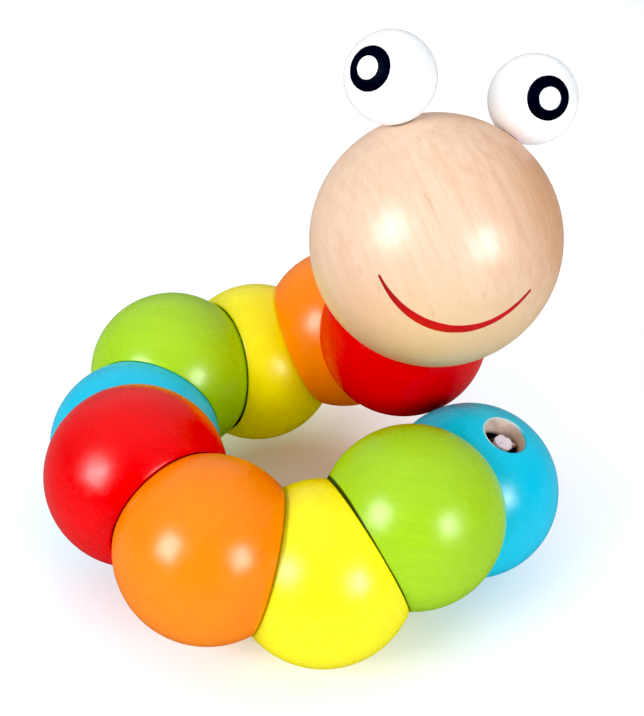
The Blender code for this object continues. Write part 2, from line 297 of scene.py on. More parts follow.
def bare_wood(name, light, mid, dark, band, axis=(0, 0, 1), ring=(1, 0, 0), seed=0.0, rough=0.3, pith=0.045, spacing=520.0, coat=0.3, bump=1.0, at=(0, 0, 0), turned=None, ring_depth=0.34, thread_depth=0.30, fleck_depth=0.50, heart=None, deep_shade=None, side=None, ior=1.39):
    """Pale close-grained wood under clear lacquer: growth rings, long fibres, short rays."""
    mat, tree, shader = principled(name)
    place = add(tree, "ShaderNodeTexCoord")
    spin = wood_turn(axis, ring) @ (turned or Matrix.Identity(3)).inverted()
    turn = add(tree, "ShaderNodeMapping", {"Rotation": spin.to_euler("XYZ"), "Location": Vector((seed, 0.6 * seed, 1.7 * seed)) - spin @ Vector(at)})
    wire(tree, place, "Object", turn, "Vector")

    # growth rings round a pith that lies outside the ball
    wander = add(tree, "ShaderNodeTexNoise", {"Scale": 60.0, "Detail": 2.0, "Roughness": 0.5})
    stretch = add(tree, "ShaderNodeMapping", {"Scale": (1.0, 1.0, 0.16)})
    wire(tree, turn, "Vector", stretch, "Vector")
    wire(tree, stretch, "Vector", wander, "Vector")
    shift = add(tree, "ShaderNodeMapping", {"Location": (pith - seed, -0.6 * seed, 0.0), "Scale": (1.0, 1.0, 0.0)})
    wire(tree, turn, "Vector", shift, "Vector")
    reach = add(tree, "ShaderNodeVectorMath", operation="LENGTH")
    wire(tree, shift, "Vector", reach, 0)
    sway = math_node(tree, "MULTIPLY", wander, "Fac", 0.0042)
    radius = math_node(tree, "ADD", reach, "Value", sway, 0)
    count = math_node(tree, "MULTIPLY", radius, 0, spacing)
    wave = math_node(tree, "FRACT", count, 0)
    ring_line = ramp(tree, wave, 0, [(0.0, 0.10), (0.55, 0.35), (0.86, 1.0), (0.93, 0.75), (1.0, 0.10)])

    fine = add(tree, "ShaderNodeMapping", {"Scale": (1.0, 1.0, 0.045)})
    wire(tree, turn, "Vector", fine, "Vector")
    fibre = add(tree, "ShaderNodeTexNoise", {"Scale": 2300.0, "Detail": 4.0, "Roughness": 0.62, "Distortion": 0.2})
    wire(tree, fine, "Vector", fibre, "Vector")
    streaky = add(tree, "ShaderNodeTexNoise", {"Scale": 640.0, "Detail": 3.0, "Roughness": 0.6, "Distortion": 0.35})
    wire(tree, fine, "Vector", streaky, "Vector")
    ray_map = add(tree, "ShaderNodeMapping", {"Scale": (1.0, 0.55, 0.16)})
    wire(tree, turn, "Vector", ray_map, "Vector")
    rays = add(tree, "ShaderNodeTexNoise", {"Scale": 1250.0, "Detail": 2.0, "Roughness": 0.5})
    wire(tree, ray_map, "Vector", rays, "Vector")
    cloud = add(tree, "ShaderNodeTexNoise", {"Scale": 70.0, "Detail": 2.0, "Roughness": 0.5})
    wire(tree, stretch, "Vector", cloud, "Vector")

    tone = spread(tree, streaky, "Fac", 0.0, 1.0, 0.36, 0.66, True)
    body = mixed(tree, tone, 0, light, mid)
    ring_on = math_node(tree, "MULTIPLY", ring_line, "Color", ring_depth)
    body = mixed(tree, ring_on, 0, (body, 2), dark)
    clouded = spread(tree, cloud, "Fac", 0.0, 0.55, 0.42, 0.72, True)
    body = mixed(tree, clouded, 0, (body, 2), band)
    if heart:
        # a darker layer of the log, on one side, with a ragged edge along the fibres
        ragged = math_node(tree, "MULTIPLY", streaky, "Fac", 0.009)
        inward = math_node(tree, "ADD", radius, 0, ragged, 0)
        inward = spread(tree, inward, 0, 0.0, 1.0, heart[1], heart[2])
        deep = ramp(tree, inward, 0, [(0.0, 0.0), (0.33, 0.20), (0.51, 0.43), (0.66, 0.76), (0.78, 0.88), (0.92, 0.74), (1.0, 0.70)])
        body = mixed(tree, deep, "Color", (body, 2), heart[0])
    thread = spread(tree, fibre, "Fac", thread_depth, 0.0, 0.34, 0.50, True)
    body = mixed(tree, thread, 0, (body, 2), dark)
    fleck = spread(tree, rays, "Fac", 0.0, fleck_depth, 0.66, 0.76, True)
    body = mixed(tree, fleck, 0, (body, 2), scaled(dark, 0.82))
    if side:
        # one side darker and yellower: on the head this is painted shade on its underside; in the tail's hole one wall
        # is darker
        across = depth_along(tree, place, side[0], side[1])
        darker_side = spread(tree, across, "Value", 0.0, side[5], side[2], side[3], True)
        body = mixed(tree, darker_side, 0, (body, 2), side[4])
    if deep_shade:
        # painted shade: black below a certain depth in the hole
        depth = depth_along(tree, place, deep_shade[0], deep_shade[1])
        rough_edge = math_node(tree, "MULTIPLY", cloud, "Fac", 0.0009)
        depth = math_node(tree, "ADD", depth, "Value", rough_edge, 0)
        deep_shade_mask = spread(tree, depth, 0, 1.0, 0.0, deep_shade[2], deep_shade[3], True)
        body = mixed(tree, deep_shade_mask, 0, (body, 2), deep_shade[4])
    wire(tree, body, 2, shader, "Base Color")

    shine = spread(tree, fibre, "Fac", rough + 0.06, rough - 0.03, 0.3, 0.7)
    wire(tree, shine, 0, shader, "Roughness")
    bumps(tree, shader, (fibre, "Fac", 0.000012 * bump), (rays, "Fac", 0.000008 * bump), (wander, "Fac", 0.00002 * bump))
    shader.inputs["IOR"].default_value = ior
    shader.inputs["Coat Weight"].default_value = coat
    shader.inputs["Coat Roughness"].default_value = 0.17
    return mat, tree, shader, turn, body


def paint(name, rgb, rough=0.3, seed=0.0, ior=1.40, ends=None, side=None):
    """Printed paint: a thin film with an uneven edge and small starved spots."""
    mat, tree, shader = principled(name)
    place = add(tree, "ShaderNodeTexCoord")
    move = add(tree, "ShaderNodeMapping", {"Location": (seed, 0.3 * seed, -seed)})
    wire(tree, place, "Object", move, "Vector")
    blot = add(tree, "ShaderNodeTexNoise", {"Scale": 900.0, "Detail": 4.0, "Roughness": 0.65})
    wire(tree, move, "Vector", blot, "Vector")
    wash = add(tree, "ShaderNodeTexNoise", {"Scale": 260.0, "Detail": 2.0})
    wire(tree, move, "Vector", wash, "Vector")
    thin = spread(tree, blot, "Fac", 0.0, 0.55, 0.56, 0.76, True)
    body = mixed(tree, thin, 0, rgb, scaled(rgb, 1.25))
    deep = spread(tree, wash, "Fac", 0.0, 0.6, 0.45, 0.68, True)
    body = mixed(tree, deep, 0, (body, 2), scaled(rgb, 0.72))
    if side:
        # worn through on one side only
        across = depth_along(tree, place, side[0], side[1])
        whole = spread(tree, across, "Value", 1.0, 0.0, side[2], side[3], True)
        body = mixed(tree, whole, 0, (body, 2), side[4])
    if ends:
        # the stroke gets darker and drier away from its middle
        gap = add(tree, "ShaderNodeVectorMath", {1: tuple(ends[0])}, operation="DISTANCE")
        wire(tree, place, "Object", gap, 0)
        dry = spread(tree, gap, "Value", 0.0, 0.85, ends[1], ends[2], True)
        body = mixed(tree, dry, 0, (body, 2), ends[3])
    wire(tree, body, 2, shader, "Base Color")
    shine = spread(tree, blot, "Fac", rough - 0.05, rough + 0.09, 0.3, 0.7)
    wire(tree, shine, 0, shader, "Roughness")
    bumps(tree, shader, (blot, "Fac", 0.000008), (wash, "Fac", 0.00001))
    shader.inputs["IOR"].default_value = ior
    return mat


def elastic(name, rgb, shade_in_hole=None):
    """Braided cover of an elastic cord: fine yarns, a little fuzz."""
    mat, tree, shader = principled(name)
    place = add(tree, "ShaderNodeTexCoord")
    yarn_map = add(tree, "ShaderNodeMapping", {"Scale": (1.0, 1.0, 0.3), "Rotation": (0.4, 0.2, 0.0)})
    wire(tree, place, "Object", yarn_map, "Vector")
    yarn = add(tree, "ShaderNodeTexNoise", {"Scale": 5200.0, "Detail": 3.0, "Roughness": 0.6})
    wire(tree, yarn_map, "Vector", yarn, "Vector")
    soil = add(tree, "ShaderNodeTexNoise", {"Scale": 700.0, "Detail": 3.0, "Roughness": 0.6})
    wire(tree, place, "Object", soil, "Vector")
    lit = spread(tree, yarn, "Fac", 0.0, 1.0, 0.32, 0.62, True)
    body = mixed(tree, lit, 0, scaled(rgb, 0.74), rgb)
    dirt = spread(tree, soil, "Fac", 0.0, 0.30, 0.48, 0.70, True)
    body = mixed(tree, dirt, 0, (body, 2), scaled(rgb, 0.62))
    if shade_in_hole:
        # painted shade: the cord is darker below a given depth in the tail's hole
        depth = depth_along(tree, place, shade_in_hole[0], shade_in_hole[1])
        painted_shade = spread(tree, depth, "Value", 1.0, 0.0, shade_in_hole[2], shade_in_hole[3], True)
        body = mixed(tree, painted_shade, 0, (body, 2), shade_in_hole[4])
    wire(tree, body, 2, shader, "Base Color")
    shine = spread(tree, yarn, "Fac", 0.62, 0.88, 0.3, 0.7)
    wire(tree, shine, 0, shader, "Roughness")
    bumps(tree, shader, (yarn, "Fac", 0.00005))
    shader.inputs["Sheen Weight"].default_value = 0.25
    shader.inputs["Sheen Roughness"].default_value = 0.5
    return mat


COLOURS = {
    "red": (0.765, 0.004, 0.006),
    "orange": (0.955, 0.245, 0.012),
    "yellow": (0.945, 0.860, 0.020),
    "green": (0.365, 0.640, 0.024),
    "blue": (0.009, 0.550, 0.800),
}
DEEP = {
    "red": (0.64, 0.002, 0.004),
    "orange": (0.90, 0.185, 0.008),
    "yellow": (0.93, 0.79, 0.012),
    "green": (0.300, 0.570, 0.016),
    "blue": (0.006, 0.475, 0.735),
}
GRAIN = (0.44, -0.36, -0.82)     # the head's fibres, in its own frame
# the head's lower front side is painted darker and yellower as shade (side)
HEAD_WOOD = bare_wood(
    "head_wood", (0.865, 0.628, 0.470), (0.82, 0.569, 0.402), (0.605, 0.369, 0.213), (0.78, 0.535, 0.368),
    axis=GRAIN, ring=(0.80, 0.15, 0.40), seed=0.011, rough=0.318, at=centre[0], turned=HEAD_ROT, ior=1.47, bump=0.45,
    ring_depth=0.15, thread_depth=0.14, fleck_depth=0.28, coat=0.0, heart=((0.640, 0.325, 0.158), 0.050, 0.070),
    side=(centre[0], (0.02, -0.59, -0.81), 0.002, 0.018, (0.79, 0.55, 0.30), 0.75),
)[0]
BORE_WOOD = bare_wood(
    "drilled_wood", (0.66, 0.50, 0.42), (0.58, 0.43, 0.35), (0.36, 0.25, 0.18), (0.52, 0.38, 0.30),
    axis=(0.3, 0.9, 0.2), ring=(1, 0, 0), seed=0.03, rough=0.62, coat=0.0, bump=3.0,
)[0]
# the tail's hole: painted shade makes it black below a certain depth, and one wall is darker
TAIL_BORE = bare_wood(
    "tail_hole_wood", (0.95, 0.79, 0.69), (0.88, 0.70, 0.60), (0.50, 0.36, 0.28), (0.76, 0.58, 0.47),
    axis=(0.3, 0.9, 0.2), ring=(1, 0, 0), seed=0.03, rough=0.62, coat=0.0, bump=3.0,
    deep_shade=(centre[10], hole_way, 0.0102, 0.0112, (0.016, 0.011, 0.008)),
    side=(centre[10] + hole_way * 0.012, (0.93, 0.05, -0.36), 0.0002, 0.0030, (0.42, 0.30, 0.225), 0.85),
)[0]
# near-black wood for the yellow beads' cups: painted shade in the gap at their seams
CUP_WOOD = bare_wood(
    "cup_wood_dark_as_shade", (0.16, 0.105, 0.065), (0.13, 0.085, 0.052), (0.07, 0.045, 0.028), (0.11, 0.07, 0.044),
    axis=(0.2, 0.1, 0.95), seed=0.07, rough=0.6, coat=0.0, bump=2.0,
)[0]
DOWEL = bare_wood(
    "dowel_wood", (0.72, 0.53, 0.33), (0.66, 0.47, 0.28), (0.42, 0.27, 0.14), (0.60, 0.42, 0.24),
    seed=0.05, rough=0.55, coat=0.0, bump=2.0,
)[0]
EYE_WHITE = lacquer("eye_white", (0.94, 0.97, 0.99), 7.0, rough=0.25, grain_k=0.99, deep=(0.925, 0.955, 0.98), bump=0.3)
PUPIL = paint("pupil_paint", (0.004, 0.0065, 0.014), 0.50, 0.02, ior=1.16)
LIP = paint("smile_paint", (0.56, 0.006, 0.012), 0.32, 0.05, ends=((0.02267, -0.01055, 0.04763), 0.0065, 0.0125, (0.34, 0.012, 0.016)))
CORD = elastic("elastic_cord", (0.74, 0.68, 0.75))
# the knot, the cut end and the loose yarn take painted shade below a given depth in the tail's hole
KNOT_CORD = elastic("knotted_cord", (0.74, 0.68, 0.75), shade_in_hole=(centre[10], hole_way, 0.0110, 0.0125, (0.022, 0.018, 0.018)))
CORD_END = elastic("cut_cord_end", (0.84, 0.755, 0.85), shade_in_hole=(centre[10], hole_way, 0.0090, 0.0100, (0.05, 0.042, 0.042)))
LOOSE_YARN = elastic("loose_yarn", (0.90, 0.68, 0.68), shade_in_hole=(centre[10], hole_way, 0.0098, 0.0108, (0.05, 0.042, 0.042)))
WORN_EDGE = paint("worn_paint_edge", (0.52, 0.62, 0.62), 0.45, 0.09, side=(centre[10] + hole_way * 0.0135, (-0.62, 0.62, 0.48), -0.0018, 0.0012, (0.014, 0.42, 0.60)))


# =====================================================================================
# Meshes
# =====================================================================================
def new_object(name, verts, faces, mats, face_mats=None, sharp=38.0):
    mesh = bpy.data.meshes.new(name)
    mesh.from_pydata([tuple(v) for v in verts], [], faces)
    for m in mats:
        mesh.materials.append(m)
    if face_mats is not None:
        mesh.polygons.foreach_set("material_index", face_mats)
    mesh.polygons.foreach_set("use_smooth", [True] * len(mesh.polygons))
    mesh.update()
    mesh.set_sharp_from_angle(angle=rad(sharp))
    obj = bpy.data.objects.new(name, mesh)
    bpy.context.scene.collection.objects.link(obj)
    return obj


def outward(obj):
    """Makes every face of a closed piece look outwards."""
    bm = bmesh.new()
    bm.from_mesh(obj.data)
    bmesh.ops.recalc_face_normals(bm, faces=bm.faces)
    bm.to_mesh(obj.data)
    bm.free()
    return obj


def lathe(name, profile, mats, steps=STEPS, sharp=38.0, shape=None):
    """Turns (radius, height, material) points, from the top down, about Z. The first and last lie on the axis."""
    verts, faces, kinds = [(0.0, 0.0, profile[0][1])], [], []
    angles = [2 * math.pi * i / steps for i in range(steps)]
    for r, z, _ in profile[1:-1]:
        verts += [(r * math.cos(a), r * math.sin(a), z) for a in angles]
    verts.append((0.0, 0.0, profile[-1][1]))
    end = len(verts) - 1
    for i in range(steps):
        j = (i + 1) % steps
        faces.append((0, 1 + i, 1 + j))
        kinds.append(profile[1][2])
    for k in range(len(profile) - 3):
        a, b = 1 + k * steps, 1 + (k + 1) * steps
        for i in range(steps):
            j = (i + 1) % steps
            faces.append((a + i, b + i, b + j, a + j))
            kinds.append(profile[k + 2][2])
    a = 1 + (len(profile) - 3) * steps
    for i in range(steps):
        j = (i + 1) % steps
        faces.append((a + i, end, a + j))
        kinds.append(profile[-1][2])
    if shape:
        verts = [shape(Vector(v)) for v in verts]
    return new_object(name, verts, faces, mats, kinds, sharp)


def arc(radius, centre_z, start, end, count, kind=0):
    return [
        (radius * math.sin(a), centre_z + radius * math.cos(a), kind)
        for a in (start + (end - start) * i / count for i in range(count + 1))
    ]


def corner(before, tip, after, count, kind=0):
    out = []
    for i in range(count + 1):
        t = i / count
        out.append(((1 - t) ** 2 * before[0] + 2 * t * (1 - t) * tip[0] + t * t * after[0],
                    (1 - t) ** 2 * before[1] + 2 * t * (1 - t) * tip[1] + t * t * after[1], kind))
    return out


def cupped(ball, reach, bore, bore_end, gap, rings=RINGS, rim_round=RIM_ROUND):
    """A ball with a cup below it for the next ball, a rounded rim, and a drilled bore with a countersunk mouth."""
    cup = BEAD_R + gap
    tip_z = -(ball**2 + reach**2 - cup**2) / (2 * reach)
    tip = (math.sqrt(ball**2 - tip_z**2), tip_z)
    rim = math.acos(tip_z / ball)
    outer = arc(ball, 0.0, 0.0, rim - rim_round / ball, rings)
    outer[0] = (0.0, ball, 0)
    inner_rim = math.acos((tip_z + reach) / cup)
    mouth = math.asin((bore + 0.0003) / cup)
    inner = arc(cup, -reach, inner_rim - rim_round / cup, mouth, 26, 2)
    lip_z = inner[-1][1]
    return (outer[:-1] + corner(outer[-1], tip, inner[0][:2], 7) + inner[1:]
            + [(bore, lip_z + 0.0003, 1), (bore, (lip_z + bore_end) / 2, 1), (bore, bore_end, 1), (0.0, bore_end + bore * 0.35, 1)])


def hand_turned(seed, amount=0.000018):
    """The slight waviness of a turned and tumbled ball, outside only."""
    def shape(v):
        r = v.length
        if abs(r - BEAD_R) > 2e-6:
            return v
        p = v / r * 2.3 + Vector((seed * 3.1, seed * 1.7, -seed * 2.3))
        d = noise.noise(p) * 0.7 + noise.noise(p * 2.1 + Vector((5.2, 1.3, 8.8))) * 0.3
        return v * (1.0 + d * amount / r)
    return shape


def rod(name, radius, start, end, sides=32):
    """A closed cylinder used as a drill."""
    start, end = Vector(start), Vector(end)
    mesh = bpy.data.meshes.new(name)
    bm = bmesh.new()
    bmesh.ops.create_cone(bm, cap_ends=True, segments=sides, radius1=radius, radius2=radius, depth=(end - start).length)
    bm.transform(Matrix.Translation((start + end) / 2) @ (end - start).to_track_quat("Z", "X").to_matrix().to_4x4())
    bm.to_mesh(mesh)
    bm.free()
    obj = bpy.data.objects.new(name, mesh)
    bpy.context.scene.collection.objects.link(obj)
    for _ in range(2):
        mesh.materials.append(BORE_WOOD)
    mesh.polygons.foreach_set("material_index", [1] * len(mesh.polygons))
    return obj


def drill(obj, *tools):
    """Cuts the tools out of obj for good, and removes them."""
    bpy.context.view_layer.update()
    for tool in tools:
        mod = obj.modifiers.new("drill", "BOOLEAN")
        mod.operation = "DIFFERENCE"
        mod.solver = "EXACT"
        mod.object = tool
    graph = bpy.context.evaluated_depsgraph_get()
    mesh = bpy.data.meshes.new_from_object(obj.evaluated_get(graph))
    old, obj.data = obj.data, mesh
    mesh.name = old.name
    obj.modifiers.clear()
    bpy.data.meshes.remove(old)
    for tool in tools:
        data = tool.data
        bpy.data.objects.remove(tool)
        bpy.data.meshes.remove(data)
    bm = bmesh.new()
    bm.from_mesh(mesh)
    bmesh.ops.remove_doubles(bm, verts=bm.verts, dist=2e-6)
    bmesh.ops.dissolve_degenerate(bm, edges=bm.edges, dist=2e-6)
    bm.to_mesh(mesh)
    bm.free()
    mesh.polygons.foreach_set("use_smooth", [True] * len(mesh.polygons))
    mesh.set_sharp_from_angle(angle=rad(38))
    return obj


def settle(obj, matrix, body, slot, *nodes):
    """Puts a piece in its place, which goes into its vertices, and gives it to its body."""
    obj.data.transform(matrix)
    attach(obj, body)
    if nodes:
        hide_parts(*nodes)
    return obj


def smooth_path(points, count):
    """Points on a Catmull-Rom curve through the given ones, evenly spaced."""
    pts = [np.array(p, float) for p in points]
    pts = [2 * pts[0] - pts[1]] + pts + [2 * pts[-1] - pts[-2]]
    dense = []
    for a, b, c, d in zip(pts, pts[1:], pts[2:], pts[3:]):
        for i in range(24):
            t = i / 24
            dense.append(0.5 * (2 * b + (c - a) * t + (2 * a - 5 * b + 4 * c - d) * t * t + (3 * b - a - 3 * c + d) * t**3))
    dense.append(pts[-2])
    dense = np.array(dense)
    run = np.r_[0, np.cumsum(np.linalg.norm(np.diff(dense, axis=0), axis=1))]
    at = np.linspace(0, run[-1], count)
    return np.stack([np.interp(at, run, dense[:, k]) for k in range(dense.shape[1])], 1), run[-1]


def braided(name, points, radius, strands=8, sides=40, relief=0.05, density=9.0, cut_end=False, mat=None, crease=None):
    """A braided tube along the points: two sets of yarns cross over and under each other. radius is a number or one per point."""
    _, length = smooth_path(points, 8)
    rings = max(12, int(length / radius if np.isscalar(radius) else length / float(np.mean(radius))) * int(density))
    path, _ = smooth_path(points, rings)
    if np.isscalar(radius):
        radii = np.full(rings, radius)
    else:
        radii = np.interp(np.linspace(0, 1, rings), np.linspace(0, 1, len(radius)), radius)
    tangent = np.gradient(path, axis=0)
    tangent /= np.linalg.norm(tangent, axis=1)[:, None]
    normal = np.cross(tangent[0], [0.31, 0.52, 0.79])
    normal /= np.linalg.norm(normal)
    verts, run = [], 0.0
    for i in range(rings):
        if i:
            normal = normal - tangent[i] * (normal @ tangent[i])
            normal /= np.linalg.norm(normal)
            run += np.linalg.norm(path[i] - path[i - 1])
        other = np.cross(tangent[i], normal)
        lay = run / (radii[i] * 3.4) * 2 * math.pi
        for s in range(sides):
            a = 2 * math.pi * s / sides
            one = math.cos(strands / 2 * a + lay * strands / 8)
            two = math.cos(strands / 2 * a - lay * strands / 8)
            high = max(one, two)
            r = radii[i] * (1.0 - relief + relief * high)
            out = math.cos(a) * normal + math.sin(a) * other
            if crease is not None:
                # the cut end is pinched along one line
                r *= 1.0 - 0.20 * math.exp(-(1.0 - abs(float(out @ crease))) / 0.03)
            verts.append(path[i] + r * out)
    faces = []
    for i in range(rings - 1):
        for s in range(sides):
            t = (s + 1) % sides
            faces.append((i * sides + s, i * sides + t, (i + 1) * sides + t, (i + 1) * sides + s))
    # rounded ends
    for ring, sign in ((0, -1.0), (rings - 1, 1.0)):
        base = ring * sides
        axis, mid = tangent[ring], path[ring]
        rows = [list(range(base, base + sides))]
        for shrink, push in ((0.86, 0.10), (0.55, 0.17 if not cut_end else 0.08), (0.25, 0.19 if not cut_end else 0.12)):
            row = []
            for s in range(sides):
                v = verts[base + s] - mid
                fray = 1.0 + (0.22 * math.sin(5 * s + 1.3) + 0.16 * math.sin(11 * s) if cut_end and sign > 0 else 0.0)
                verts.append(mid + v * shrink + axis * sign * radii[ring] * push * fray)
                row.append(len(verts) - 1)
            rows.append(row)
        verts.append(mid + axis * sign * radii[ring] * 0.2)
        tip = len(verts) - 1
        for a, b in zip(rows, rows[1:]):
            for s in range(sides):
                t = (s + 1) % sides
                faces.append((a[s], a[t], b[t], b[s]) if sign < 0 else (a[t], a[s], b[s], b[t]))
        last = rows[-1]
        for s in range(sides):
            t = (s + 1) % sides
            faces.append((last[s], last[t], tip) if sign < 0 else (last[t], last[s], tip))
    return outward(new_object(name, verts, faces, [mat or CORD], None, 60.0))


# =====================================================================================
# The beads and their cords
# =====================================================================================
for k in range(1, 11):
    body = CHAIN[k]
    tail = k == 10
    node = "blue_tail_bead" if tail else body.replace("_", "_bead_")
    colour = "blue" if tail else body.split("_")[0]
    frame_k = bead_frame(k)
    bend = elbow_of(k)
    # painted shade along the seams of the balls listed in SEAM_SHADE
    seam_shade = SEAM_SHADE.get(body) and (centre[k], -way[k - 1], (-0.02, 0.59, 0.81), *SEAM_SHADE[body])
    coat = lacquer(f"{node}_lacquer", COLOURS[colour], k * 1.37, deep=DEEP[colour], bump=0.22, painted_shade=seam_shade)
    # the yellow beads' cups take near-black wood, painted shade in their seams
    mats = [coat, TAIL_BORE if tail else BORE_WOOD, WORN_EDGE if tail else CUP_WOOD if colour == "yellow" else coat]
    if tail:
        mouth = math.pi - math.asin(HOLE_SEEN / BEAD_R)
        edge = 0.00034
        ball = arc(BEAD_R, 0.0, 0.0, mouth - edge / BEAD_R, 84)
        ball[0] = (0.0, BEAD_R, 0)
        tip = (HOLE_SEEN, BEAD_R * math.cos(mouth))
        lip = corner(ball[-1], tip, (HOLE_SEEN, tip[1] + edge), 8, 2)
        lip[0] = (*lip[0][:2], 0)
        wall = [(HOLE_SEEN * (1.0 + 0.004 * math.sin(7.0 * i)), tip[1] + edge + (-KNOT_FLOOR - tip[1] - edge) * i / 14, 1) for i in range(1, 15)]
        profile = ball[:-1] + lip + wall + [(BORE_R + 0.0002, -KNOT_FLOOR + 0.0003, 1), (BORE_R, -KNOT_FLOOR + 0.0006, 1), (BORE_R, 0.0011, 1), (0.0, 0.0018, 1)]
    else:
        pitch = (centre[k + 1] - centre[k]).length
        profile = cupped(BEAD_R, pitch, BORE_R, 0.0011, CUP_GAPS[body], rim_round=CRISP_RIMS.get(body, RIM_ROUND))
    bead = lathe(f"{node}_turned", profile, mats, shape=hand_turned(k))
    if body in CUP_LEAN:
        lift = frame_k.to_3x3().inverted() @ Vector((0, 0, CUP_LEAN[body]))
        for v in bead.data.vertices:
            if v.co.z < 0 and (v.co - Vector((0, 0, -pitch))).length < BEAD_R + CUP_GAPS[body] + 0.0006:
                v.co += lift * min(max((BEAD_R - v.co.length) / 0.0004, 0.0), 1.0)
    front = Vector((math.sin(bend), 0.0, math.cos(bend)))
    drill(bead, rod(f"{node}_drill", BORE_R * 0.97, front * -0.0007, front * (BEAD_R + 0.002), 36))
    settle(bead, frame_k, body, f"{colour}_lacquer", node)

    # its length of the cord, bent at the ball's centre
    begin = BEAD_R + CAD_CUP_GAP / 2 - CORD_GAP / 2
    away = Vector((0, 0, -1))
    stop = KNOT_FLOOR - CORD_GAP if tail else pitch - BEAD_R - CAD_CUP_GAP / 2 - CORD_GAP / 2
    leg = min(CORD_BEND, 0.85 * stop)
    shrink = CORD_R * 0.19
    path = [front * (begin - shrink), front * (begin + leg) / 2]
    path += [front * leg * (1 - t) ** 2 + away * leg * t * t for t in (0.0, 0.25, 0.5, 0.75, 1.0)]
    if stop - shrink > leg * 1.12:
        path.append(away * (stop - shrink))
    cord_node = "blue_tail_cord" if tail else node.replace("bead", "cord")
    cord = braided(f"{cord_node}_braid", path, CORD_R * 0.985)
    settle(cord, frame_k, body, "elastic_cord", cord_node)

# the knot in the tail's hole: an overhand knot drawn tight, its cut end standing up in the hole
SIZE, DROP = 0.00064, 0.0084
knot = [(0.0, 0.0, -KNOT_FLOOR + 0.0002), (0.0002, 0.0, -KNOT_FLOOR - 0.0006)]
begin, end = 0.42, 2 * math.pi - 0.75
for i in range(22):
    t = begin + (end - begin) * i / 21
    knot.append((SIZE * (math.sin(t) + 2 * math.sin(2 * t)), SIZE * (math.cos(t) - 2 * math.cos(2 * t)), -DROP - 0.00085 * math.sin(3 * t) - 0.0012 * (i / 21 - 0.5)))
knot_piece = braided("tail_cord_knot", knot, [0.00112] + [0.00094] * 9, strands=8, relief=0.07, density=11.0, mat=KNOT_CORD)
settle(knot_piece, bead_frame(10), "tail", "elastic_cord", "tail_knot")
stub = [(-0.0002, 0.0, -0.0086), (-0.0004, -0.0001, -0.0097), (-0.00042, -0.0002, -0.0109), (-0.00036, -0.00024, -0.0119)]
cut = braided("tail_cord_cut_end", stub, [0.0010, 0.0012, 0.00144, 0.00150], strands=10, relief=0.06, density=14.0, cut_end=True, mat=CORD_END, crease=np.array((0.879, -0.477, 0.0)))
settle(cut, bead_frame(10), "tail", "elastic_cord")
yarn = [(-0.0013, -0.0004, -0.0084), (-0.0018, -0.0007, -0.0094), (-0.0022, -0.0010, -0.0104), (-0.0024, -0.0011, -0.0113)]
loose = braided("tail_cord_loose_yarn", yarn, 0.00042, strands=4, sides=20, relief=0.10, density=7.0, cut_end=True, mat=LOOSE_YARN)
settle(loose, bead_frame(10), "tail", "elastic_cord")

# =====================================================================================
# The head, the eyes and the painted face
# =====================================================================================
neck_frame = basis(neck_link.col[1], -neck_link.col[2], -neck_link.col[0]).to_4x4()
head = lathe("head_turned", cupped(HEAD_R, NECK, HEAD_BORE_R, HEAD_BORE_END, CUP_GAPS["head"], 110), [HEAD_WOOD, BORE_WOOD, HEAD_WOOD], 176)
head.data.transform(neck_frame)
tools = []
for sign in (-1.0, 1.0):
    lean = rad(EYE_SPREAD) * sign
    axis = Vector((math.sin(lean), 0.0, math.cos(lean)))
    eye_at = Matrix.Translation(axis * EYE_REACH) @ axis.to_track_quat("Z", "Y").to_matrix().to_4x4()
    seat_r = EYE_R + 0.00006
    hole_r = PEG_R + PEG_GAP
    ball = arc(seat_r, 0.0, 0.0, math.pi - math.asin(hole_r / seat_r), 60, 1)
    ball[0] = (0.0, seat_r, 1)
    hole_end = -EYE_REACH + HEAD_R - PEG_IN
    seat = lathe("seat", ball + [(hole_r, hole_end, 1), (0.0, hole_end, 1)], [BORE_WOOD, BORE_WOOD], 96)
    seat.data.transform(eye_at)
    tools.append(seat)
drill(head, *tools)
settle(head, HEAD, "head", "bare_wood", "head")


def on_ball(direction, radius, height):
    return Vector(direction).normalized() * (radius + height)


def film(name, rows, mat):
    """A thin film of paint: rows of (surface point, underside point) pairs closed into a shell. Rows are lists of points across the film."""
    count = len(rows[0])
    verts, faces = [], []
    for row in rows:
        verts += [p for p, _ in row]
    base = len(verts)
    for row in rows:
        verts += [q for _, q in row]
    n = len(rows)
    ring = name.endswith("ring")
    for i in range(n if ring else n - 1):
        j = (i + 1) % n
        for c in range(count - 1):
            a, b, d, e = i * count + c, i * count + c + 1, j * count + c + 1, j * count + c
            faces.append((a, b, d, e))
            faces.append((base + a, base + e, base + d, base + b))
        for c, flip in ((0, False), (count - 1, True)):
            a, b = i * count + c, j * count + c
            quad = (a, b, base + b, base + a)
            faces.append(tuple(reversed(quad)) if flip else quad)
    if not ring:
        for i, flip in ((0, True), (n - 1, False)):
            for c in range(count - 1):
                a, b = i * count + c, i * count + c + 1
                quad = (a, b, base + b, base + a)
                faces.append(tuple(reversed(quad)) if flip else quad)
    return outward(new_object(name, verts, faces, [mat], None, 60.0))


